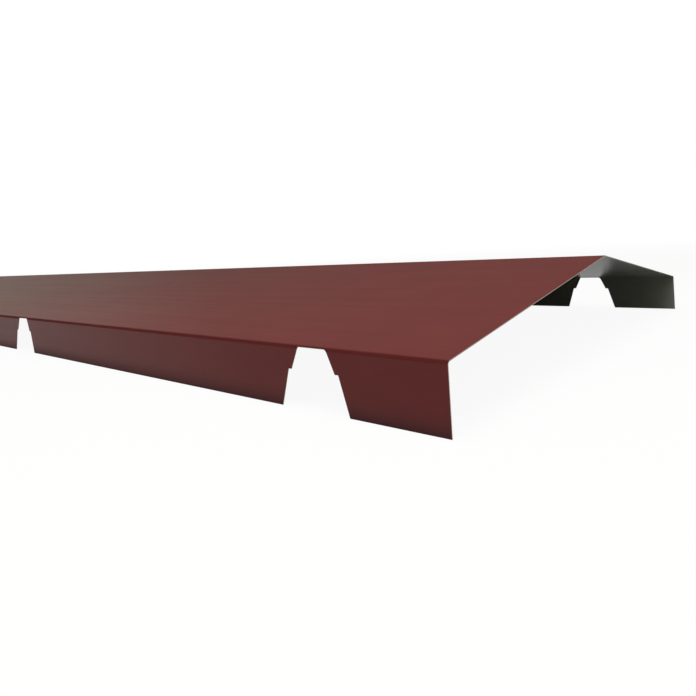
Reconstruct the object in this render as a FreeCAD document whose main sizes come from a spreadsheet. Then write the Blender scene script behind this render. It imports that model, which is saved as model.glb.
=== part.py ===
"""Toothed roof ridge cap, folded from one prepainted steel sheet.

The cap runs along X with the ridge line over Y = 0 and stands on the lower edges
of its two down-turned flanges, which lie on Z = 0. The origin is the middle of
the footprint. The end at +X is the one with a short tooth beside its first notch.
"""
import FreeCAD, Part
import math
import os
import Sketcher

doc = FreeCAD.newDocument("ridge_cap")
Vector = FreeCAD.Vector

# Driving dimensions in millimetres, angles in degrees
SIZES = (
    ("cap_length", 2100.0, "length of the cap along the ridge"),
    ("wing_width", 272.5, "ridge line to eave line, along the slope, outside"),
    ("wing_slope", 8.53, "fall of each wing, which is a 15 per cent roof"),
    ("flange_height", 41.0, "eave line to lower edge, outside"),
    ("sheet_thickness", 0.6, "painted steel sheet"),
    ("bend_radius", 2.0, "inside radius of the three folds"),
    ("rib_pitch", 500.0, "distance between ribs of the roof panel"),
    ("first_notch", 100.0, "end of the cap to the middle of the first notch"),
    ("notch_drop", 0.5, "eave line to the top of a notch, just inside the fold"),
    ("crown_width", 25.0, "notch across its top, corner to corner"),
    ("shoulder_depth", 15.6, "eave line to the shoulder in a notch's sides"),
    ("shoulder_inner", 38.8, "notch just above the shoulder"),
    ("shoulder_outer", 44.5, "notch just below the shoulder"),
    ("base_width", 60.0, "notch at the flange's lower edge"),
    ("crown_round", 4.0, "radius of the notch's top corner nearer the +X end"),
)

sheet = doc.addObject("Spreadsheet::Sheet", "sizes")
size = {}
for row, (alias, value, meaning) in enumerate(SIZES, start=1):
    sheet.set("A%d" % row, alias)
    sheet.set("B%d" % row, "%g" % value)
    sheet.set("C%d" % row, meaning)
    sheet.setAlias("B%d" % row, alias)
    size[alias] = value
doc.recompute()

body = doc.addObject("PartDesign::Body", "ridge_cap")
body.Label = "ridge_cap"


def origin_feature(role):
    """The body's own origin plane or axis of that role."""
    for feature in body.Origin.OriginFeatures:
        if feature.Role == role:
            return feature
    raise RuntimeError("no origin feature " + role)


def new_sketch(name, role):
    """An empty sketch of the body on one of its origin planes."""
    sketch = body.newObject("Sketcher::SketchObject", name)
    sketch.AttachmentSupport = [(origin_feature(role), "")]
    sketch.MapMode = "FlatFace"
    return sketch


def line(sketch, start, end, construction=False):
    """A straight edge between two points of the sketch."""
    edge = Part.LineSegment(Vector(start[0], start[1], 0), Vector(end[0], end[1], 0))
    return sketch.addGeometry(edge, construction)


def arc(sketch, centre, radius, first, last):
    """A circular edge, anticlockwise from one angle to another, in degrees."""
    circle = Part.Circle(Vector(centre[0], centre[1], 0), Vector(0, 0, 1), radius)
    edge = Part.ArcOfCircle(circle, math.radians(first), math.radians(last))
    return sketch.addGeometry(edge, False)


def constrain(sketch, *arguments):
    """Add one constraint and give its number."""
    return sketch.addConstraint(Sketcher.Constraint(*arguments))


def drive(sketch, name, expression, *arguments):
    """Add one dimension that follows the spreadsheet."""
    number = constrain(sketch, *arguments)
    sketch.renameConstraint(number, name)
    sketch.setExpression("Constraints." + name, expression)


# Sketch numbering: the points of an edge, then the two axes of a sketch
START, END, CENTRE = range(1, 4)
X_AXIS, Y_AXIS = range(-1, -3, -1)

# Section of the folded sheet, drawn across the ridge: Y to the right, Z up
slope = math.radians(size["wing_slope"])
half_width = size["wing_width"] * math.cos(slope)
eave_z = size["flange_height"]
ridge_z = eave_z + size["wing_width"] * math.sin(slope)
thickness = size["sheet_thickness"]
outer_radius = size["bend_radius"] + thickness
fold_run = outer_radius * math.tan((math.pi / 2 - slope) / 2)
ridge_run = outer_radius * math.tan(slope)
eave_centre = (half_width - outer_radius, eave_z - fold_run)
ridge_centre = (0.0, ridge_z - outer_radius / math.cos(slope))
along = (math.cos(slope), -math.sin(slope))
inward = (-math.sin(slope), -math.cos(slope))

section = new_sketch("section", "YZ_Plane")


def wing_point(distance, depth, side):
    """A point on a wing, so far down from the ridge line and so deep in the sheet."""
    across = along[0] * distance + inward[0] * depth
    height = ridge_z + along[1] * distance + inward[1] * depth
    return (side * across, height)


def draw_face(depth):
    """One face of the sheet, outside or inside: flange, fold, wing, fold and so on."""
    reach = half_width - depth
    radius = outer_radius - depth
    angle = size["wing_slope"]
    low = size["wing_width"] - fold_run
    return (
        line(section, (-reach, 0), (-reach, eave_centre[1])),
        arc(section, (-eave_centre[0], eave_centre[1]), radius, 90 + angle, 180),
        line(section, wing_point(low, depth, -1), wing_point(ridge_run, depth, -1)),
        arc(section, ridge_centre, radius, 90 - angle, 90 + angle),
        line(section, wing_point(ridge_run, depth, 1), wing_point(low, depth, 1)),
        arc(section, eave_centre, radius, 0, 90 - angle),
        line(section, (reach, eave_centre[1]), (reach, 0)),
    )


outside = draw_face(0.0)
inside = draw_face(thickness)
foot_left = line(section, (-half_width, 0), (-half_width + thickness, 0))
foot_right = line(section, (half_width - thickness, 0), (half_width, 0))
eave_left = section.addGeometry(Part.Point(Vector(-half_width, eave_z, 0)), True)
ridge_line = section.addGeometry(Part.Point(Vector(0, ridge_z, 0)), True)
eave_right = section.addGeometry(Part.Point(Vector(half_width, eave_z, 0)), True)

# Each face is one smooth chain: every fold is tangent to the flats beside it
for chain in (outside, inside):
    flange_l, fold_l, wing_l, fold_m, wing_r, fold_r, flange_r = chain
    constrain(section, "Tangent", flange_l, END, fold_l, END)
    constrain(section, "Tangent", fold_l, START, wing_l, START)
    constrain(section, "Tangent", wing_l, END, fold_m, END)
    constrain(section, "Tangent", fold_m, START, wing_r, START)
    constrain(section, "Tangent", wing_r, END, fold_r, END)
    constrain(section, "Tangent", fold_r, START, flange_r, START)
    constrain(section, "Vertical", flange_l)
    constrain(section, "Vertical", flange_r)
    constrain(section, "PointOnObject", flange_l, START, X_AXIS)
    constrain(section, "PointOnObject", flange_r, END, X_AXIS)
for number in (1, 3, 5):
    constrain(section, "Coincident", outside[number], CENTRE, inside[number], CENTRE)
for number in (2, 4):
    constrain(section, "Parallel", outside[number], inside[number])
constrain(section, "Coincident", foot_left, START, outside[0], START)
constrain(section, "Coincident", foot_left, END, inside[0], START)
constrain(section, "Coincident", foot_right, START, inside[6], END)
constrain(section, "Coincident", foot_right, END, outside[6], END)

# The eave and ridge lines are where the outside faces would meet without a radius
constrain(section, "PointOnObject", eave_left, START, outside[0])
constrain(section, "PointOnObject", eave_left, START, outside[2])
constrain(section, "PointOnObject", ridge_line, START, outside[2])
constrain(section, "PointOnObject", ridge_line, START, outside[4])
constrain(section, "PointOnObject", eave_right, START, outside[4])
constrain(section, "PointOnObject", eave_right, START, outside[6])
constrain(section, "PointOnObject", ridge_line, START, Y_AXIS)
constrain(section, "Symmetric", eave_left, START, eave_right, START, Y_AXIS)
drive(section, "wing_width", "sizes.wing_width",
      "Distance", eave_left, START, ridge_line, START, size["wing_width"])
drive(section, "wing_slope", "sizes.wing_slope",
      "Angle", outside[2], slope)
drive(section, "flange_height", "sizes.flange_height",
      "DistanceY", outside[0], START, eave_left, START, size["flange_height"])
drive(section, "sheet_thickness", "sizes.sheet_thickness",
      "DistanceX", foot_left, START, foot_left, END, thickness)
for name, fold in zip(("fold_left", "fold_ridge", "fold_right"), outside[1::2]):
    drive(section, name, "sizes.bend_radius + sizes.sheet_thickness",
          "Radius", fold, outer_radius)

strip = body.newObject("PartDesign::Pad", "folded_strip")
strip.Profile = section
strip.SideType = "Symmetric"
strip.setExpression("Length", "sizes.cap_length")
doc.recompute()
plain_volume = strip.Shape.Volume

# One notch, seen along Y: X to the right, Z up, open at the flange's lower edge
middle = size["cap_length"] / 2 - size["first_notch"]
crown_z = eave_z - size["notch_drop"]
shoulder_z = eave_z - size["shoulder_depth"]
below_z = -size["sheet_thickness"] * 5
lean = math.atan2(crown_z - shoulder_z, (size["shoulder_inner"] - size["crown_width"]) / 2)
corner_run = size["crown_round"] * math.tan(lean / 2)


def across(width, side):
    """X of a notch's side where the notch is that wide."""
    return middle + side * width / 2


notch = new_sketch("notch_outline", "XZ_Plane")
corner_x = across(size["crown_width"], 1)
round_start = (corner_x - corner_run, crown_z)
round_end = (corner_x + corner_run * math.cos(lean), crown_z - corner_run * math.sin(lean))
crown = line(notch, (across(size["crown_width"], -1), crown_z), round_start)
upper_right = line(notch, round_end, (across(size["shoulder_inner"], 1), shoulder_z))
ledge_right = line(notch, (across(size["shoulder_inner"], 1), shoulder_z),
                   (across(size["shoulder_outer"], 1), shoulder_z))
lower_right = line(notch, (across(size["shoulder_outer"], 1), shoulder_z),
                   (across(size["base_width"], 1), 0))
drop_right = line(notch, (across(size["base_width"], 1), 0),
                  (across(size["base_width"], 1), below_z))
under = line(notch, (across(size["base_width"], 1), below_z),
             (across(size["base_width"], -1), below_z))
drop_left = line(notch, (across(size["base_width"], -1), below_z),
                 (across(size["base_width"], -1), 0))
lower_left = line(notch, (across(size["base_width"], -1), 0),
                  (across(size["shoulder_outer"], -1), shoulder_z))
ledge_left = line(notch, (across(size["shoulder_outer"], -1), shoulder_z),
                  (across(size["shoulder_inner"], -1), shoulder_z))
upper_left = line(notch, (across(size["shoulder_inner"], -1), shoulder_z),
                  (across(size["crown_width"], -1), crown_z))
rounding = arc(notch, (round_start[0], crown_z - size["crown_round"]), size["crown_round"],
               90 - math.degrees(lean), 90)
corner = notch.addGeometry(Part.Point(Vector(corner_x, crown_z, 0)), True)
centre_line = line(notch, (middle, below_z), (middle, crown_z), True)

chain = (upper_right, ledge_right, lower_right, drop_right, under,
         drop_left, lower_left, ledge_left, upper_left, crown)
for first, second in zip(chain, chain[1:]):
    constrain(notch, "Coincident", first, END, second, START)
constrain(notch, "Tangent", crown, END, rounding, END)
constrain(notch, "Tangent", rounding, START, upper_right, START)
for edge in (ledge_right, under):
    constrain(notch, "Horizontal", edge)
for edge in (drop_right, drop_left, centre_line):
    constrain(notch, "Vertical", edge)
constrain(notch, "PointOnObject", lower_right, END, X_AXIS)
constrain(notch, "PointOnObject", corner, START, crown)
constrain(notch, "PointOnObject", corner, START, upper_right)
constrain(notch, "PointOnObject", centre_line, START, under)
constrain(notch, "PointOnObject", centre_line, END, crown)
constrain(notch, "Symmetric", crown, START, corner, START, centre_line)
constrain(notch, "Symmetric", ledge_left, END, ledge_right, START, centre_line)
constrain(notch, "Symmetric", ledge_left, START, ledge_right, END, centre_line)
constrain(notch, "Symmetric", lower_left, START, lower_right, END, centre_line)
drive(notch, "place", "sizes.cap_length / 2 - sizes.first_notch",
      "DistanceX", -1, START, centre_line, START, middle)
drive(notch, "crown_height", "sizes.flange_height - sizes.notch_drop",
      "DistanceY", -1, START, crown, START, crown_z)
drive(notch, "shoulder_height", "sizes.flange_height - sizes.shoulder_depth",
      "DistanceY", -1, START, ledge_right, START, shoulder_z)
drive(notch, "crown_width", "sizes.crown_width",
      "DistanceX", crown, START, corner, START, size["crown_width"])
drive(notch, "shoulder_inner", "sizes.shoulder_inner",
      "DistanceX", ledge_left, END, ledge_right, START, size["shoulder_inner"])
drive(notch, "shoulder_outer", "sizes.shoulder_outer",
      "DistanceX", ledge_left, START, ledge_right, END, size["shoulder_outer"])
drive(notch, "base_width", "sizes.base_width",
      "DistanceX", lower_left, START, lower_right, END, size["base_width"])
drive(notch, "below", "sizes.sheet_thickness * 5",
      "DistanceY", under, START, lower_right, END, -below_z)
drive(notch, "crown_round", "sizes.crown_round",
      "Radius", rounding, size["crown_round"])

# The notch goes through both flanges at once and stays under the wings
cut = body.newObject("PartDesign::Pocket", "notch")
cut.Profile = notch
cut.Type = "ThroughAll"
cut.SideType = "Symmetric"
doc.recompute()
notch_volume = plain_volume - cut.Shape.Volume
if notch_volume <= 0:
    raise RuntimeError("the notch cuts nothing")

# A notch at every rib, the last one halved where the cap is cut off
row = body.newObject("PartDesign::LinearPattern", "notch_row")
row.Originals = [cut]
row.Direction = (origin_feature("X_Axis"), [""])
row.Reversed = True
row.setExpression("Occurrences", "floor((sizes.cap_length - sizes.first_notch"
                  " + sizes.base_width / 2) / sizes.rib_pitch) + 1")
row.setExpression("Length", "sizes.rib_pitch * floor((sizes.cap_length - sizes.first_notch"
                  " + sizes.base_width / 2) / sizes.rib_pitch)")
body.Tip = row
doc.recompute()

for sketch in (section, notch):
    if sketch.solve() != 0:
        raise RuntimeError(sketch.Name + " is not solved")
for item in doc.Objects:
    if "Invalid" in item.State or "Error" in item.State:
        raise RuntimeError(item.Name + " failed to compute")
if body.Shape.isNull() or not body.Shape.isValid() or len(body.Shape.Solids) != 1:
    raise RuntimeError("the cap is not one valid solid")
if body.Shape.Volume >= cut.Shape.Volume:
    raise RuntimeError("the row of notches cuts nothing")

os.makedirs("parts", exist_ok=True)
body.Shape.exportStep("parts/ridge_cap.step")
box = body.Shape.BoundBox
print("ridge_cap: %.1f x %.1f x %.1f mm, volume %.0f mm3"
      % (box.XLength, box.YLength, box.ZLength, body.Shape.Volume))
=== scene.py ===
"""Looks of a toothed roof ridge cap: one folded, painted steel sheet on a pale studio floor."""
import math

import bpy
from mathutils import Euler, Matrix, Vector


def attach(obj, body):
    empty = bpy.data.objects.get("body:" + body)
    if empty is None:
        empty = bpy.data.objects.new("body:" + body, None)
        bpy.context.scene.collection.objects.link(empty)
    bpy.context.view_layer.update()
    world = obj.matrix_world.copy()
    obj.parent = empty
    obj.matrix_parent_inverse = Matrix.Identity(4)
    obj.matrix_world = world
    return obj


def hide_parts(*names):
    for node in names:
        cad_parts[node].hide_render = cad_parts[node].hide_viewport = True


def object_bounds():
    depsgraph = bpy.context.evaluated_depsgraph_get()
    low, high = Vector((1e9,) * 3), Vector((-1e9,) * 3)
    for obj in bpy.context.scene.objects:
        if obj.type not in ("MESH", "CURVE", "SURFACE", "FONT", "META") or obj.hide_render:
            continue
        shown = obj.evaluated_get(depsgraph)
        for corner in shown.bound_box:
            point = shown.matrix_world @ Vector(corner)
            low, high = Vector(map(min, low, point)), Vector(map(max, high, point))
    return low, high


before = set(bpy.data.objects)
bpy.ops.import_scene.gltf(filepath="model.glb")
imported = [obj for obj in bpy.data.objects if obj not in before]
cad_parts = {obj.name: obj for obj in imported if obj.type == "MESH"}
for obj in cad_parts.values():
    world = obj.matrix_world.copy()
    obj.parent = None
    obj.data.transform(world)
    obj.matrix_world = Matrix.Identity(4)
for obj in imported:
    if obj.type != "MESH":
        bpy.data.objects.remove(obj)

bl_info = {
    "name": "Roof ridge cap",
    "version": (1, 0, 0),
    "blender": (4, 5, 0),
    "location": "View3D > Sidebar > Ridge cap",
    "description": "Builds a folded, notched ridge cap of painted steel sheet and a stage for it",
    "category": "Object",
}

CAD_LOW, CAD_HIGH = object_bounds()
MM = 0.001

# Rows of the mesh: steps of a notch's round corner and of the eave fold, shares of the flat of
# a wing, and the height difference under which two rows are one
CORNER_STEPS = 8
FOLD_STEPS = 12
WING_SHARES = (0.02, 0.25, 0.5, 0.75, 0.98)
SAME_ROW = 0.02 * MM
# Corners are told apart to a ten-millionth of a metre
CORNERS_PER_METRE = 1e7

# Order of the sheet's materials
TOPCOAT, BACKING, CUT_EDGE = range(3)
# Sockets of a Mix node that mixes colours: its two colours and its result
MIX_A, MIX_B, MIX_RESULT = 6, 7, 2
# Nearly all of a noise texture's values lie in this span
NOISE_SPAN = {"From Min": 0.3, "From Max": 0.7}
# Painted shade on the topcoat, darker towards the foot: height over the foot in millimetres, what
# red, green and blue are multiplied by, and how much rougher the coat is there
PAINTED_FOOT_SHADE = ((0.0, 0.46, 0.66, 0.80, 0.25), (2.0, 0.57, 0.82, 1.00, 0.21),
         (4.0, 0.72, 0.94, 1.00, 0.17), (8.0, 0.86, 1.00, 1.00, 0.07),
         (12.0, 0.96, 1.00, 1.00, 0.00), (18.0, 1.00, 1.00, 1.00, 0.00))
# The same for painted shade along the eave fold, with the height over the eave line. The last row
# only ends the scale of heights
PAINTED_EAVE_FOLD_SHADE = ((-2.2, 1.00, 1.00, 1.00, 0.00), (-1.4, 0.68, 0.47, 0.45, 0.30),
          (0.0, 0.50, 0.34, 0.32, 0.45), (0.5, 1.00, 1.00, 1.00, 0.00),
          (9.0, 1.00, 1.00, 1.00, 0.00))

# Half the side of the floor, in metres, and its grey level for rays that only carry light
FLOOR_REACH = 30.0
FLOOR_BOUNCE = 0.35
# Points that the lamps look at, and the lamps' widths, in metres
NEAR_END, NEAR_LAMP_WIDTH = (0.9, -0.15, 0.05), 0.6
FAR_HALF, BACK_LAMP_WIDTH = (-0.5, 0.1, 0.05), 0.8


class RidgeCapSizes(bpy.types.PropertyGroup):
    """Sizes of the folded sheet, outside faces, as the CAD part has them."""

    length: bpy.props.FloatProperty(
        name="Length", description="Length along the ridge",
        default=CAD_HIGH.x - CAD_LOW.x, unit="LENGTH")
    wing_width: bpy.props.FloatProperty(
        name="Wing width", description="Ridge line to eave line, along the slope",
        default=272.5 * MM, unit="LENGTH")
    wing_slope: bpy.props.FloatProperty(
        name="Wing slope", description="Fall of each wing",
        default=math.radians(8.53), unit="ROTATION")
    flange_height: bpy.props.FloatProperty(
        name="Flange height", description="Eave line to lower edge",
        default=41.0 * MM, unit="LENGTH")
    sheet_thickness: bpy.props.FloatProperty(
        name="Sheet thickness", description="Steel with its coats",
        default=0.6 * MM, precision=5, unit="LENGTH")
    bend_radius: bpy.props.FloatProperty(
        name="Bend radius", description="Inside radius of the three folds",
        default=2.0 * MM, precision=4, unit="LENGTH")
    rib_pitch: bpy.props.FloatProperty(
        name="Rib pitch", description="Distance between ribs of the roof panel",
        default=500.0 * MM, unit="LENGTH")
    first_notch: bpy.props.FloatProperty(
        name="First notch", description="End of the cap to the middle of the first notch",
        default=100.0 * MM, unit="LENGTH")
    notch_drop: bpy.props.FloatProperty(
        name="Notch drop", description="Eave line to the top of a notch",
        default=0.5 * MM, precision=4, unit="LENGTH")
    crown_width: bpy.props.FloatProperty(
        name="Crown width", description="Notch across its top, corner to corner",
        default=25.0 * MM, unit="LENGTH")
    crown_round: bpy.props.FloatProperty(
        name="Crown round", description="Radius of the notch's top corner nearer the +X end",
        default=4.0 * MM, precision=4, unit="LENGTH")
    shoulder_depth: bpy.props.FloatProperty(
        name="Shoulder depth", description="Eave line to the shoulder in a notch's sides",
        default=15.6 * MM, unit="LENGTH")
    shoulder_inner: bpy.props.FloatProperty(
        name="Shoulder inner", description="Notch width just above the shoulder",
        default=38.8 * MM, unit="LENGTH")
    shoulder_outer: bpy.props.FloatProperty(
        name="Shoulder outer", description="Notch width just below the shoulder",
        default=44.5 * MM, unit="LENGTH")
    base_width: bpy.props.FloatProperty(
        name="Base width", description="Notch width at the flange's lower edge",
        default=60.0 * MM, unit="LENGTH")


class RidgeCapFinish(bpy.types.PropertyGroup):
    """Colours of the sheet's two coats and of its cut edge, as sRGB hex values."""

    topcoat: bpy.props.StringProperty(
        name="Topcoat", description="Oxide red of the weather side", default="#6E3231")
    backing: bpy.props.StringProperty(
        name="Backing coat", description="Grey of the underside", default="#888A83")
    edge: bpy.props.StringProperty(
        name="Cut edge", description="Zinc and steel where the sheet was cut", default="#A89C90")


class RidgeCapStage(bpy.types.PropertyGroup):
    """Camera, lamps and room."""

    camera_place: bpy.props.FloatVectorProperty(
        name="Camera place", description="Where the camera stands",
        default=(1.201932, -0.515581, 0.103572), subtype="TRANSLATION", unit="LENGTH")
    camera_turn: bpy.props.FloatVectorProperty(
        name="Camera turn", description="How the camera is turned",
        default=(1.545827, 0.062952, 0.718272), subtype="EULER", unit="ROTATION")
    camera_lens: bpy.props.FloatProperty(
        name="Lens", description="Focal length on a 36 mm sensor, in millimetres",
        default=28.731, unit="CAMERA")
    camera_shift: bpy.props.FloatProperty(
        name="Shift", description="Vertical lens shift of the picture's framing",
        default=-0.1263)
    floor: bpy.props.StringProperty(
        name="Floor", description="Pale studio floor", default="#F2F2F0")
    walls: bpy.props.StringProperty(
        name="Walls", description="Warm white of the walls and ceiling", default="#FFFBEC")
    ambient: bpy.props.FloatProperty(
        name="Ambient", description="Strength of the room's even light", default=0.36)
    ceiling: bpy.props.FloatProperty(
        name="Ceiling", description="Brightness of the ceiling that a gloss mirrors", default=0.15)
    key_place: bpy.props.FloatVectorProperty(
        name="Key lamp place", description="Where the soft lamp over the near end hangs",
        default=(1.05, -0.35, 0.95), subtype="TRANSLATION", unit="LENGTH")
    key_power: bpy.props.FloatProperty(
        name="Key lamp power", description="Power of the soft lamp over the near end",
        default=6.0, unit="POWER")
    front_place: bpy.props.FloatVectorProperty(
        name="Front lamp place", description="Where the soft lamp in front of the near end hangs",
        default=(1.3, -0.6, 0.7), subtype="TRANSLATION", unit="LENGTH")
    front_power: bpy.props.FloatProperty(
        name="Front lamp power", description="Power of the soft lamp in front of the near end",
        default=1.2, unit="POWER")
    back_place: bpy.props.FloatVectorProperty(
        name="Back lamp place", description="Where the soft lamp behind the far wing hangs",
        default=(-0.9, 1.2, 0.45), subtype="TRANSLATION", unit="LENGTH")
    back_power: bpy.props.FloatProperty(
        name="Back lamp power", description="Power of the soft lamp behind the far wing",
        default=8.0, unit="POWER")


def linear(hex_colour):
    """An sRGB hex colour as linear red, green, blue and an alpha of 1."""
    digits = hex_colour.lstrip("#")
    channels = [int(digits[i:i + 2], 16) / 255 for i in (0, 2, 4)]
    return [c / 12.92 if c <= 0.04045 else ((c + 0.055) / 1.055) ** 2.4
            for c in channels] + [1.0]


def shaded(colour, factor):
    """A linear colour made darker or lighter by a factor, its alpha kept."""
    return [c * factor for c in colour[:3]] + colour[3:]


def add_node(tree, kind, settings=None, values=None, links=None):
    """Add a node to a tree with its settings, its sockets' values and what feeds them."""
    node = tree.nodes.new(kind)
    for name, value in (settings or {}).items():
        setattr(node, name, value)
    for name, value in (values or {}).items():
        node.inputs[name].default_value = value
    for name, source in (links or {}).items():
        tree.links.new(source, node.inputs[name])
    return node


def new_material(name):
    """An empty node material and its tree."""
    material = bpy.data.materials.new(name)
    material.use_nodes = True
    material.node_tree.nodes.clear()
    return material, material.node_tree


def polyester_topcoat(finish, eave):
    """Oxide-red polyester paint, rolled on to the steel coil and baked.

    It is a satin coat: an even colour, a soft sheen that greys towards a flat angle, a
    faint orange-peel grain and long, barely seen streaks along the rolling direction.
    Shade is painted on it: darker towards the lower edge, and a dark band along the eave fold,
    whose height is given.
    """
    material, tree = new_material("polyester_topcoat_oxide_red")
    place = add_node(tree, "ShaderNodeTexCoord").outputs["Object"]
    red = linear(finish.topcoat)
    # Clouds of pigment, about 45 mm across
    clouds = add_node(tree, "ShaderNodeTexNoise",
                      values={"Scale": 1 / (45 * MM), "Detail": 3.0, "Roughness": 0.55},
                      links={"Vector": place})
    tint = add_node(tree, "ShaderNodeMapRange", values=NOISE_SPAN,
                    links={"Value": clouds.outputs["Fac"]})
    colour = add_node(tree, "ShaderNodeMix", {"data_type": "RGBA"},
                      values={MIX_A: shaded(red, 0.96), MIX_B: shaded(red, 1.04)},
                      links={"Factor": tint.outputs["Result"]})
    # Painted shade over the height: darker at the foot and in a band over the eave fold
    stops = [(height * MM, tone) for height, *tone in PAINTED_FOOT_SHADE]
    stops += [(eave + height * MM, tone) for height, *tone in PAINTED_EAVE_FOLD_SHADE]
    highest = stops[-1][0]
    above_floor = add_node(tree, "ShaderNodeSeparateXYZ", links={"Vector": place})
    share = add_node(tree, "ShaderNodeMapRange", values={"From Max": highest},
                     links={"Value": above_floor.outputs["Z"]})
    shade_ramp = add_node(tree, "ShaderNodeValToRGB", links={"Fac": share.outputs["Result"]})
    elements = shade_ramp.color_ramp.elements
    while len(elements) < len(stops):
        elements.new(1.0)
    for element, (height, tone) in zip(elements, stops):
        element.position = height / highest
        element.color = tone
    shaded_topcoat = add_node(tree, "ShaderNodeMix", {"data_type": "RGBA", "blend_type": "MULTIPLY"},
                     values={"Factor": 1.0},
                     links={MIX_A: colour.outputs[MIX_RESULT], MIX_B: shade_ramp.outputs["Color"]})
    # Roller streaks along the sheet, about 9 mm wide and 40 times as long
    streak = 9 * MM
    stretch = add_node(tree, "ShaderNodeMapping",
                       values={"Scale": (1 / (40 * streak), 1 / streak, 1 / streak)},
                       links={"Vector": place})
    streaks = add_node(tree, "ShaderNodeTexNoise", values={"Scale": 1.0, "Detail": 2.0},
                       links={"Vector": stretch.outputs["Vector"]})
    gloss = add_node(tree, "ShaderNodeMapRange",
                     values={**NOISE_SPAN, "To Min": 0.435, "To Max": 0.465},
                     links={"Value": streaks.outputs["Fac"]})
    # The coat is also rougher where shade is painted, at the foot and along the eave fold
    rough = add_node(tree, "ShaderNodeMath", {"operation": "ADD"},
                     links={0: gloss.outputs["Result"], 1: shade_ramp.outputs["Alpha"]})
    # Orange peel: real grain is about 0.5 mm, drawn at 1.5 mm so that it shows
    grain = add_node(tree, "ShaderNodeTexNoise",
                     values={"Scale": 1 / (1.5 * MM), "Detail": 2.0},
                     links={"Vector": place})
    peel = add_node(tree, "ShaderNodeBump", values={"Strength": 0.06, "Distance": 0.05 * MM},
                    links={"Height": grain.outputs["Fac"]})
    # The reflex is weaker than a clear gloss coat's, so that the red stays deep
    paint = add_node(tree, "ShaderNodeBsdfPrincipled",
                     values={"IOR": 1.5, "Specular IOR Level": 0.12},
                     links={"Base Color": shaded_topcoat.outputs[MIX_RESULT],
                            "Roughness": rough.outputs["Value"],
                            "Normal": peel.outputs["Normal"]})
    add_node(tree, "ShaderNodeOutputMaterial", links={"Surface": paint.outputs["BSDF"]})
    return material


def epoxy_backing_coat(finish):
    """Thin grey epoxy on the underside, baked with the topcoat.

    It is smoother than the topcoat, so at a flat angle it mirrors what lies beyond it.
    """
    material, tree = new_material("epoxy_backing_coat_grey")
    place = add_node(tree, "ShaderNodeTexCoord").outputs["Object"]
    grey = linear(finish.backing)
    # Uneven film thickness, in clouds about 30 mm across
    clouds = add_node(tree, "ShaderNodeTexNoise",
                      values={"Scale": 1 / (30 * MM), "Detail": 3.0}, links={"Vector": place})
    colour = add_node(tree, "ShaderNodeMix", {"data_type": "RGBA"},
                      values={MIX_A: shaded(grey, 0.92), MIX_B: shaded(grey, 1.08)},
                      links={"Factor": clouds.outputs["Fac"]})
    gloss = add_node(tree, "ShaderNodeMapRange", values={"To Min": 0.22, "To Max": 0.27},
                     links={"Value": clouds.outputs["Fac"]})
    # Face on it mirrors next to nothing, at a flat angle nearly everything
    coat = add_node(tree, "ShaderNodeBsdfPrincipled",
                    values={"IOR": 1.5, "Specular IOR Level": 0.01},
                    links={"Base Color": colour.outputs[MIX_RESULT],
                           "Roughness": gloss.outputs["Result"]})
    add_node(tree, "ShaderNodeOutputMaterial", links={"Surface": coat.outputs["BSDF"]})
    return material


def sheared_zinc_edge(finish):
    """Zinc-coated steel laid bare by the shear and the punch: a thin bright line, faintly torn."""
    material, tree = new_material("sheared_galvanised_edge")
    place = add_node(tree, "ShaderNodeTexCoord").outputs["Object"]
    zinc = linear(finish.edge)
    # Tear marks of the shear: real ones are about 0.5 mm apart, drawn at 2 mm so that they show
    tears = add_node(tree, "ShaderNodeTexNoise",
                     values={"Scale": 1 / (2 * MM), "Detail": 2.0}, links={"Vector": place})
    colour = add_node(tree, "ShaderNodeMix", {"data_type": "RGBA"},
                      values={MIX_A: shaded(zinc, 0.8), MIX_B: shaded(zinc, 1.1)},
                      links={"Factor": tears.outputs["Fac"]})
    metal = add_node(tree, "ShaderNodeBsdfPrincipled",
                     values={"Metallic": 1.0, "Roughness": 0.5},
                     links={"Base Color": colour.outputs[MIX_RESULT]})
    add_node(tree, "ShaderNodeOutputMaterial", links={"Surface": metal.outputs["BSDF"]})
    return material


class SectionRow:
    """One line of the sheet along the ridge: its place and outward normal, seen end on.

    above and below say how far a notch reaches to -X and +X from its middle, in the strip
    of sheet over the line and in the one under it. They are None where the strip is whole.
    """

    def __init__(self, y, z, normal, above=None, below=None):
        self.y, self.z, self.normal = y, z, normal
        self.above, self.below = above, below


def notch_outline(sizes):
    """Heights down the notch, from its crown to its base, with its reach over and under each."""
    crown_z = sizes.flange_height - sizes.notch_drop
    shoulder_z = sizes.flange_height - sizes.shoulder_depth
    crown, inner = sizes.crown_width / 2, sizes.shoulder_inner / 2
    outer, base = sizes.shoulder_outer / 2, sizes.base_width / 2
    lean = math.atan2(crown_z - shoulder_z, inner - crown)
    run = sizes.crown_round * math.tan(lean / 2)
    outline = [(crown_z, None, (crown, crown - run))]
    for step in range(1, CORNER_STEPS + 1):
        turn = lean * step / CORNER_STEPS
        drop = sizes.crown_round * (1 - math.cos(turn))
        reach = (crown + drop / math.tan(lean), crown - run + sizes.crown_round * math.sin(turn))
        outline.append((crown_z - drop, reach, reach))
    outline.append((shoulder_z, (inner, inner), (outer, outer)))
    outline.append((0.0, (base, base), None))
    return outline


def reach_at(outline, z):
    """The notch's reach at a height between two points of its outline."""
    for (z0, _, upper), (z1, lower, _) in zip(outline, outline[1:]):
        if z0 > z > z1:
            share = (z0 - z) / (z0 - z1)
            return tuple(a + (b - a) * share for a, b in zip(upper, lower))
    raise ValueError("the height %g is outside the notch" % z)


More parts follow.
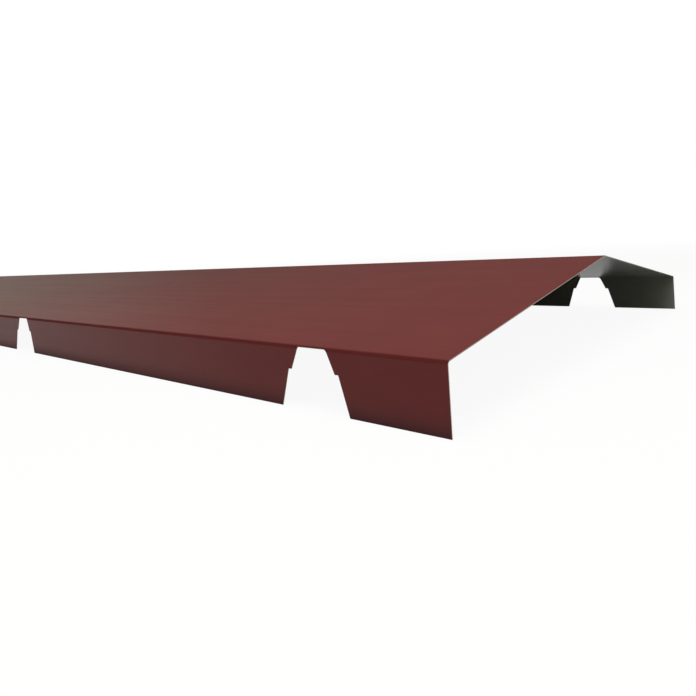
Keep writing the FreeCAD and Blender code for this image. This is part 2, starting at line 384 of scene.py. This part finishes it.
def half_section(sizes):
    """Rows of one half of the section, from the ridge to the flange's lower edge."""
    slope = sizes.wing_slope
    radius = sizes.bend_radius + sizes.sheet_thickness
    half_width = sizes.wing_width * math.cos(slope)
    ridge_z = sizes.flange_height + sizes.wing_width * math.sin(slope)
    ridge_centre = ridge_z - radius / math.cos(slope)
    fold_turn = math.pi / 2 - slope
    fold_y = half_width - radius
    fold_z = sizes.flange_height - radius * math.tan(fold_turn / 2)
    rows = []
    # Ridge fold, then the flat of the wing
    for turn in (slope / 3, slope):
        normal = (math.sin(turn), math.cos(turn))
        rows.append(SectionRow(radius * normal[0], ridge_centre + radius * normal[1], normal))
    start = rows[-1]
    rise = fold_z + radius * normal[1] - start.z
    run = fold_y + radius * normal[0] - start.y
    for share in WING_SHARES:
        rows.append(SectionRow(start.y + run * share, start.z + rise * share, normal))
    # Eave fold and flange: a row at even turns of the fold and at each point of the notch
    outline = notch_outline(sizes)
    heights = list(outline)
    for step in range(FOLD_STEPS + 1):
        z = fold_z + radius * math.cos(slope + fold_turn * step / FOLD_STEPS)
        if z > outline[0][0]:
            heights.append((z, None, None))
        elif all(abs(z - height[0]) > SAME_ROW for height in outline):
            heights.append((z, reach_at(outline, z), reach_at(outline, z)))
    for z, above, below in sorted(heights, key=lambda height: -height[0]):
        up = max(0.0, (z - fold_z) / radius)
        normal = (math.sqrt(1 - up * up), up)
        rows.append(SectionRow(fold_y + radius * normal[0], z, normal, above, below))
    return rows


def folded_sheet(sizes):
    """Outside points, inside points, outward normals and outside faces of the sheet."""
    half = half_section(sizes)
    crown = next(row.below for row in half if row.below)
    end = sizes.length / 2
    middles = []
    middle = end - sizes.first_notch
    while middle > -end - sizes.base_width / 2:
        middles.append(middle)
        middle = end - sizes.first_notch - sizes.rib_pitch * len(middles)
    outside, inside, normals, skin, numbers = [], [], [], [], {}

    def stretch(reach, column):
        """X of both ends of one stretch of sheet, between the notches or over one."""
        places = [end]
        for middle in middles:
            places += [max(middle + reach[1], -end), max(middle - reach[0], -end)]
        return (places + [-end])[column:column + 2]

    def corners(row, side, reach, column):
        """Numbers of a row's corners at both ends of one stretch, which its neighbours share."""
        pair = []
        for x in stretch(reach, column):
            key = tuple(round(c * CORNERS_PER_METRE) for c in (x, side * row.y, row.z))
            if key not in numbers:
                numbers[key] = len(outside)
                normal = Vector((0.0, side * row.normal[0], row.normal[1]))
                outside.append(Vector((x, side * row.y, row.z)))
                inside.append(outside[-1] - normal * sizes.sheet_thickness)
                normals.append(normal)
            pair.append(numbers[key])
        return pair

    def strip(upper, lower, side_upper, side_lower):
        """Faces between two rows: every stretch of a whole strip, every other one at the notches."""
        for column in range(0, 2 * len(middles) + 1, 1 if upper.below is None else 2):
            if stretch(upper.below or crown, column)[0] == -end:
                continue
            top = corners(upper, side_upper, upper.below or crown, column)
            foot = corners(lower, side_lower, lower.above or crown, column)
            step = corners(lower, side_lower, lower.below or lower.above or crown, column)
            loops = [(top[0], top[1], step[1], step[0]), (top[0], step[0], foot[0]),
                     (top[1], foot[1], step[1])]
            for loop in loops:
                loop = [c for i, c in enumerate(loop) if c != loop[i - 1]]
                if len(loop) > 2:
                    skin.append(tuple(loop if side_lower < 0 else reversed(loop)))

    strip(half[0], half[0], 1, -1)
    for upper, lower in zip(half, half[1:]):
        strip(upper, lower, -1, -1)
        strip(upper, lower, 1, 1)
    return outside, inside, normals, skin


def close_sheet(outside, inside, normals, skin):
    """Join the two skins along every free edge into one closed sheet.

    Gives its points, its faces, each face's material number and each face's corner normals.
    """
    count = len(outside)
    faces, coats, corner_normals = [], [], []
    for corners in skin:
        faces.append(corners)
        coats.append(TOPCOAT)
        corner_normals.append([normals[c] for c in corners])
        faces.append(tuple(c + count for c in reversed(corners)))
        coats.append(BACKING)
        corner_normals.append([-normals[c] for c in reversed(corners)])
    # An edge that only one face of the skin has is a cut edge of the sheet
    edges = dict.fromkeys((a, b) for corners in skin
                          for a, b in zip(corners, corners[1:] + corners[:1]))
    for a, b in edges:
        if (b, a) not in edges:
            faces.append((b, a, a + count, b + count))
            coats.append(CUT_EDGE)
            along = outside[a] - outside[b]
            flat = along.cross(inside[a] - outside[a]).normalized()
            corner_normals.append([flat] * 4)
    return outside + inside, faces, coats, corner_normals


def build_cap(sizes, finish):
    """The ridge cap's sheet as a Blender object with its three finishes."""
    points, faces, coats, corner_normals = close_sheet(*folded_sheet(sizes))
    mesh = bpy.data.meshes.new("ridge_cap_sheet")
    mesh.from_pydata(points, [], faces)
    mesh.materials.append(polyester_topcoat(finish, sizes.flange_height))
    mesh.materials.append(epoxy_backing_coat(finish))
    mesh.materials.append(sheared_zinc_edge(finish))
    mesh.polygons.foreach_set("material_index", coats)
    mesh.polygons.foreach_set("use_smooth", [True] * len(faces))
    mesh.normals_split_custom_set([tuple(n) for corners in corner_normals for n in corners])
    mesh.validate()
    mesh.update()
    cap = bpy.data.objects.new("ridge_cap_sheet", mesh)
    bpy.context.scene.collection.objects.link(cap)
    return cap


class RIDGECAP_OT_make_cap(bpy.types.Operator):
    """Fold the notched sheet and give it its paint"""

    bl_idname = "ridgecap.make_cap"
    bl_label = "Make the ridge cap"

    def execute(self, context):
        scene = context.scene
        cap = build_cap(scene.ridge_cap_sizes, scene.ridge_cap_finish)
        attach(cap, "root")
        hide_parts("ridge_cap")
        return {"FINISHED"}


def seen_directly(tree):
    """1 on rays from the camera, from a gloss or through glass, and 0 on rays that only light."""
    path = add_node(tree, "ShaderNodeLightPath").outputs
    either = add_node(tree, "ShaderNodeMath", {"operation": "MAXIMUM"},
                      links={0: path["Is Camera Ray"], 1: path["Is Glossy Ray"]})
    any_seen = add_node(tree, "ShaderNodeMath", {"operation": "MAXIMUM"},
                        links={0: either.outputs["Value"], 1: path["Is Transmission Ray"]})
    return any_seen.outputs["Value"]


def floor_paint(stage):
    """Pale seamless floor: it looks nearly white and keeps a faint shadow.

    Rays that only carry light meet a grey floor, so that it throws little light back up.
    """
    material, tree = new_material("pale_studio_floor")
    place = add_node(tree, "ShaderNodeTexCoord").outputs["Object"]
    # The floor keeps a shadow near the cap and turns plain white 1.5 to 4 m away
    away = add_node(tree, "ShaderNodeVectorMath", {"operation": "LENGTH"}, links={0: place})
    fade = add_node(tree, "ShaderNodeMapRange",
                    values={"From Min": 1.5, "From Max": 4.0, "To Min": 0.93, "To Max": 1.0},
                    links={"Value": away.outputs["Value"]})
    # Painted shade in the gloss under the cap: the white that a gloss sees there falls to about a
    # third with every 95 mm in from an open end
    sides = add_node(tree, "ShaderNodeVectorMath", {"operation": "ABSOLUTE"}, links={0: place})
    across = add_node(tree, "ShaderNodeSeparateXYZ", links={"Vector": sides.outputs["Vector"]})
    beside = add_node(tree, "ShaderNodeMath", {"operation": "GREATER_THAN"},
                      values={1: CAD_HIGH.y}, links={0: across.outputs["Y"]})
    past_end = add_node(tree, "ShaderNodeMath", {"operation": "SUBTRACT"},
                        values={1: CAD_HIGH.x}, links={0: across.outputs["X"]})
    depth = add_node(tree, "ShaderNodeMath", {"operation": "DIVIDE"},
                     values={1: 95 * MM}, links={0: past_end.outputs["Value"]})
    reached = add_node(tree, "ShaderNodeMath", {"operation": "EXPONENT", "use_clamp": True},
                       links={0: depth.outputs["Value"]})
    open_floor = add_node(tree, "ShaderNodeMath", {"operation": "MAXIMUM"},
                          links={0: beside.outputs["Value"], 1: reached.outputs["Value"]})
    path = add_node(tree, "ShaderNodeLightPath").outputs
    matte = add_node(tree, "ShaderNodeMath", {"operation": "SUBTRACT"},
                     values={0: 1.0}, links={1: path["Is Glossy Ray"]})
    lit = add_node(tree, "ShaderNodeMath", {"operation": "MAXIMUM"},
                   links={0: open_floor.outputs["Value"], 1: matte.outputs["Value"]})
    share = add_node(tree, "ShaderNodeMath", {"operation": "MULTIPLY"},
                     links={0: fade.outputs["Result"], 1: lit.outputs["Value"]})
    pale = add_node(tree, "ShaderNodeBsdfDiffuse", values={"Color": linear(stage.floor)})
    glow = add_node(tree, "ShaderNodeEmission", values={"Strength": 1.0})
    white = add_node(tree, "ShaderNodeMixShader",
                     links={"Fac": share.outputs["Value"], 1: pale.outputs["BSDF"],
                            2: glow.outputs["Emission"]})
    grey = add_node(tree, "ShaderNodeBsdfDiffuse",
                    values={"Color": (FLOOR_BOUNCE, FLOOR_BOUNCE, FLOOR_BOUNCE, 1.0)})
    both = add_node(tree, "ShaderNodeMixShader",
                    links={"Fac": seen_directly(tree), 1: grey.outputs["BSDF"],
                           2: white.outputs["Shader"]})
    add_node(tree, "ShaderNodeOutputMaterial", links={"Surface": both.outputs["Shader"]})
    return material


def studio_floor(stage):
    """A large flat floor at the level of the flanges' lower edges."""
    mesh = bpy.data.meshes.new("studio_floor")
    mesh.from_pydata([(-FLOOR_REACH, -FLOOR_REACH, 0), (FLOOR_REACH, -FLOOR_REACH, 0),
                      (FLOOR_REACH, FLOOR_REACH, 0), (-FLOOR_REACH, FLOOR_REACH, 0)],
                     [], [(0, 1, 2, 3)])
    mesh.materials.append(floor_paint(stage))
    floor = bpy.data.objects.new("studio_floor", mesh)
    bpy.context.scene.collection.objects.link(floor)
    return floor


def white_room(stage):
    """A room that looks plain white and lights the cap with an even, warm white."""
    world = bpy.data.worlds.new("white_room")
    world.use_nodes = True
    tree = world.node_tree
    tree.nodes.clear()
    path = add_node(tree, "ShaderNodeLightPath").outputs
    place = add_node(tree, "ShaderNodeTexCoord").outputs["Generated"]
    direction = add_node(tree, "ShaderNodeSeparateXYZ", links={"Vector": place})
    # A gloss mirrors a white backdrop that fades, from 6 to 26 degrees up, into a dimmer ceiling
    backdrop = add_node(tree, "ShaderNodeMapRange", {"interpolation_type": "SMOOTHSTEP"},
                        values={"From Min": math.sin(math.radians(6)),
                                "From Max": math.sin(math.radians(26)),
                                "To Min": 1.0, "To Max": stage.ceiling},
                        links={"Value": direction.outputs["Z"]})
    # The backdrop is brightest beyond the far end, within about 11 degrees of the ridge's line,
    # and dims up to about 35 degrees from it
    beyond = add_node(tree, "ShaderNodeMapRange",
                      values={"From Min": -0.98, "From Max": -0.82, "To Min": 1.8, "To Max": 0.7},
                      links={"Value": direction.outputs["X"]})
    mirrored = add_node(tree, "ShaderNodeMath", {"operation": "MULTIPLY"},
                        links={0: backdrop.outputs["Result"], 1: beyond.outputs["Result"]})
    lit = add_node(tree, "ShaderNodeMix", values={"A": stage.ambient},
                   links={"Factor": path["Is Glossy Ray"], "B": mirrored.outputs["Value"]})
    seen = add_node(tree, "ShaderNodeMath", {"operation": "MAXIMUM"},
                    links={0: path["Is Camera Ray"], 1: path["Is Transmission Ray"]})
    level = add_node(tree, "ShaderNodeMix", values={"B": 1.0},
                     links={"Factor": seen.outputs["Value"], "A": lit.outputs["Result"]})
    tint = add_node(tree, "ShaderNodeMix", {"data_type": "RGBA"},
                    values={MIX_A: linear(stage.walls), MIX_B: (1.0, 1.0, 1.0, 1.0)},
                    links={"Factor": seen.outputs["Value"]})
    room = add_node(tree, "ShaderNodeBackground",
                    links={"Color": tint.outputs[MIX_RESULT], "Strength": level.outputs["Result"]})
    add_node(tree, "ShaderNodeOutputWorld", links={"Surface": room.outputs["Background"]})
    return world


def soft_lamp(name, place, power, target, width):
    """A square area lamp that looks at a point and isn't in the picture itself."""
    lamp = bpy.data.lights.new(name, "AREA")
    lamp.shape = "SQUARE"
    lamp.size = width
    lamp.energy = power
    holder = bpy.data.objects.new(name, lamp)
    holder.location = place
    holder.rotation_euler = (Vector(target) - Vector(place)).to_track_quat("-Z", "Y").to_euler()
    holder.visible_camera = False
    bpy.context.scene.collection.objects.link(holder)
    return holder


def picture_camera(stage):
    """The camera at the picture's viewing angle."""
    camera = bpy.data.cameras.new("camera")
    camera.sensor_width = 36.0
    camera.lens = stage.camera_lens
    camera.shift_y = stage.camera_shift
    camera.clip_start = 0.01
    holder = bpy.data.objects.new("camera", camera)
    holder.location = stage.camera_place
    holder.rotation_euler = Euler(stage.camera_turn, "XYZ")
    bpy.context.scene.collection.objects.link(holder)
    return holder


class RIDGECAP_OT_make_stage(bpy.types.Operator):
    """Set the floor, the white room, the soft lamps and the camera"""

    bl_idname = "ridgecap.make_stage"
    bl_label = "Make the stage"

    def execute(self, context):
        scene = context.scene
        stage = scene.ridge_cap_stage
        studio_floor(stage)
        scene.world = white_room(stage)
        soft_lamp("key_lamp", stage.key_place, stage.key_power, NEAR_END, NEAR_LAMP_WIDTH)
        soft_lamp("front_lamp", stage.front_place, stage.front_power, NEAR_END, NEAR_LAMP_WIDTH)
        back = soft_lamp("back_lamp", stage.back_place, stage.back_power, FAR_HALF, BACK_LAMP_WIDTH)
        # The back lamp lights the far wing without a bright patch in the near wing's gloss
        back.visible_glossy = False
        scene.camera = picture_camera(stage)
        scene.view_settings.view_transform = "Standard"
        return {"FINISHED"}


class RIDGECAP_PT_panel(bpy.types.Panel):
    """Lists the cap's and the stage's operators and what can be changed"""

    bl_idname = "RIDGECAP_PT_panel"
    bl_label = "Ridge cap"
    bl_space_type = "VIEW_3D"
    bl_region_type = "UI"
    bl_category = "Ridge cap"

    def draw(self, context):
        scene = context.scene
        for group in (scene.ridge_cap_sizes, scene.ridge_cap_finish, scene.ridge_cap_stage):
            box = self.layout.box()
            for name in group.__annotations__:
                box.prop(group, name)
        self.layout.operator(RIDGECAP_OT_make_cap.bl_idname)
        self.layout.operator(RIDGECAP_OT_make_stage.bl_idname)


CLASSES = (RidgeCapSizes, RidgeCapFinish, RidgeCapStage,
           RIDGECAP_OT_make_cap, RIDGECAP_OT_make_stage, RIDGECAP_PT_panel)


def register():
    """Make the classes known and hang their properties on the scene."""
    for entry in CLASSES:
        bpy.utils.register_class(entry)
    bpy.types.Scene.ridge_cap_sizes = bpy.props.PointerProperty(type=RidgeCapSizes)
    bpy.types.Scene.ridge_cap_finish = bpy.props.PointerProperty(type=RidgeCapFinish)
    bpy.types.Scene.ridge_cap_stage = bpy.props.PointerProperty(type=RidgeCapStage)


def unregister():
    """Take the properties and the classes away again."""
    del bpy.types.Scene.ridge_cap_stage
    del bpy.types.Scene.ridge_cap_finish
    del bpy.types.Scene.ridge_cap_sizes
    for entry in reversed(CLASSES):
        bpy.utils.unregister_class(entry)


def main():
    """Build the cap and its stage."""
    register()
    bpy.ops.ridgecap.make_cap()
    bpy.ops.ridgecap.make_stage()


if __name__ == "__main__":
    main()
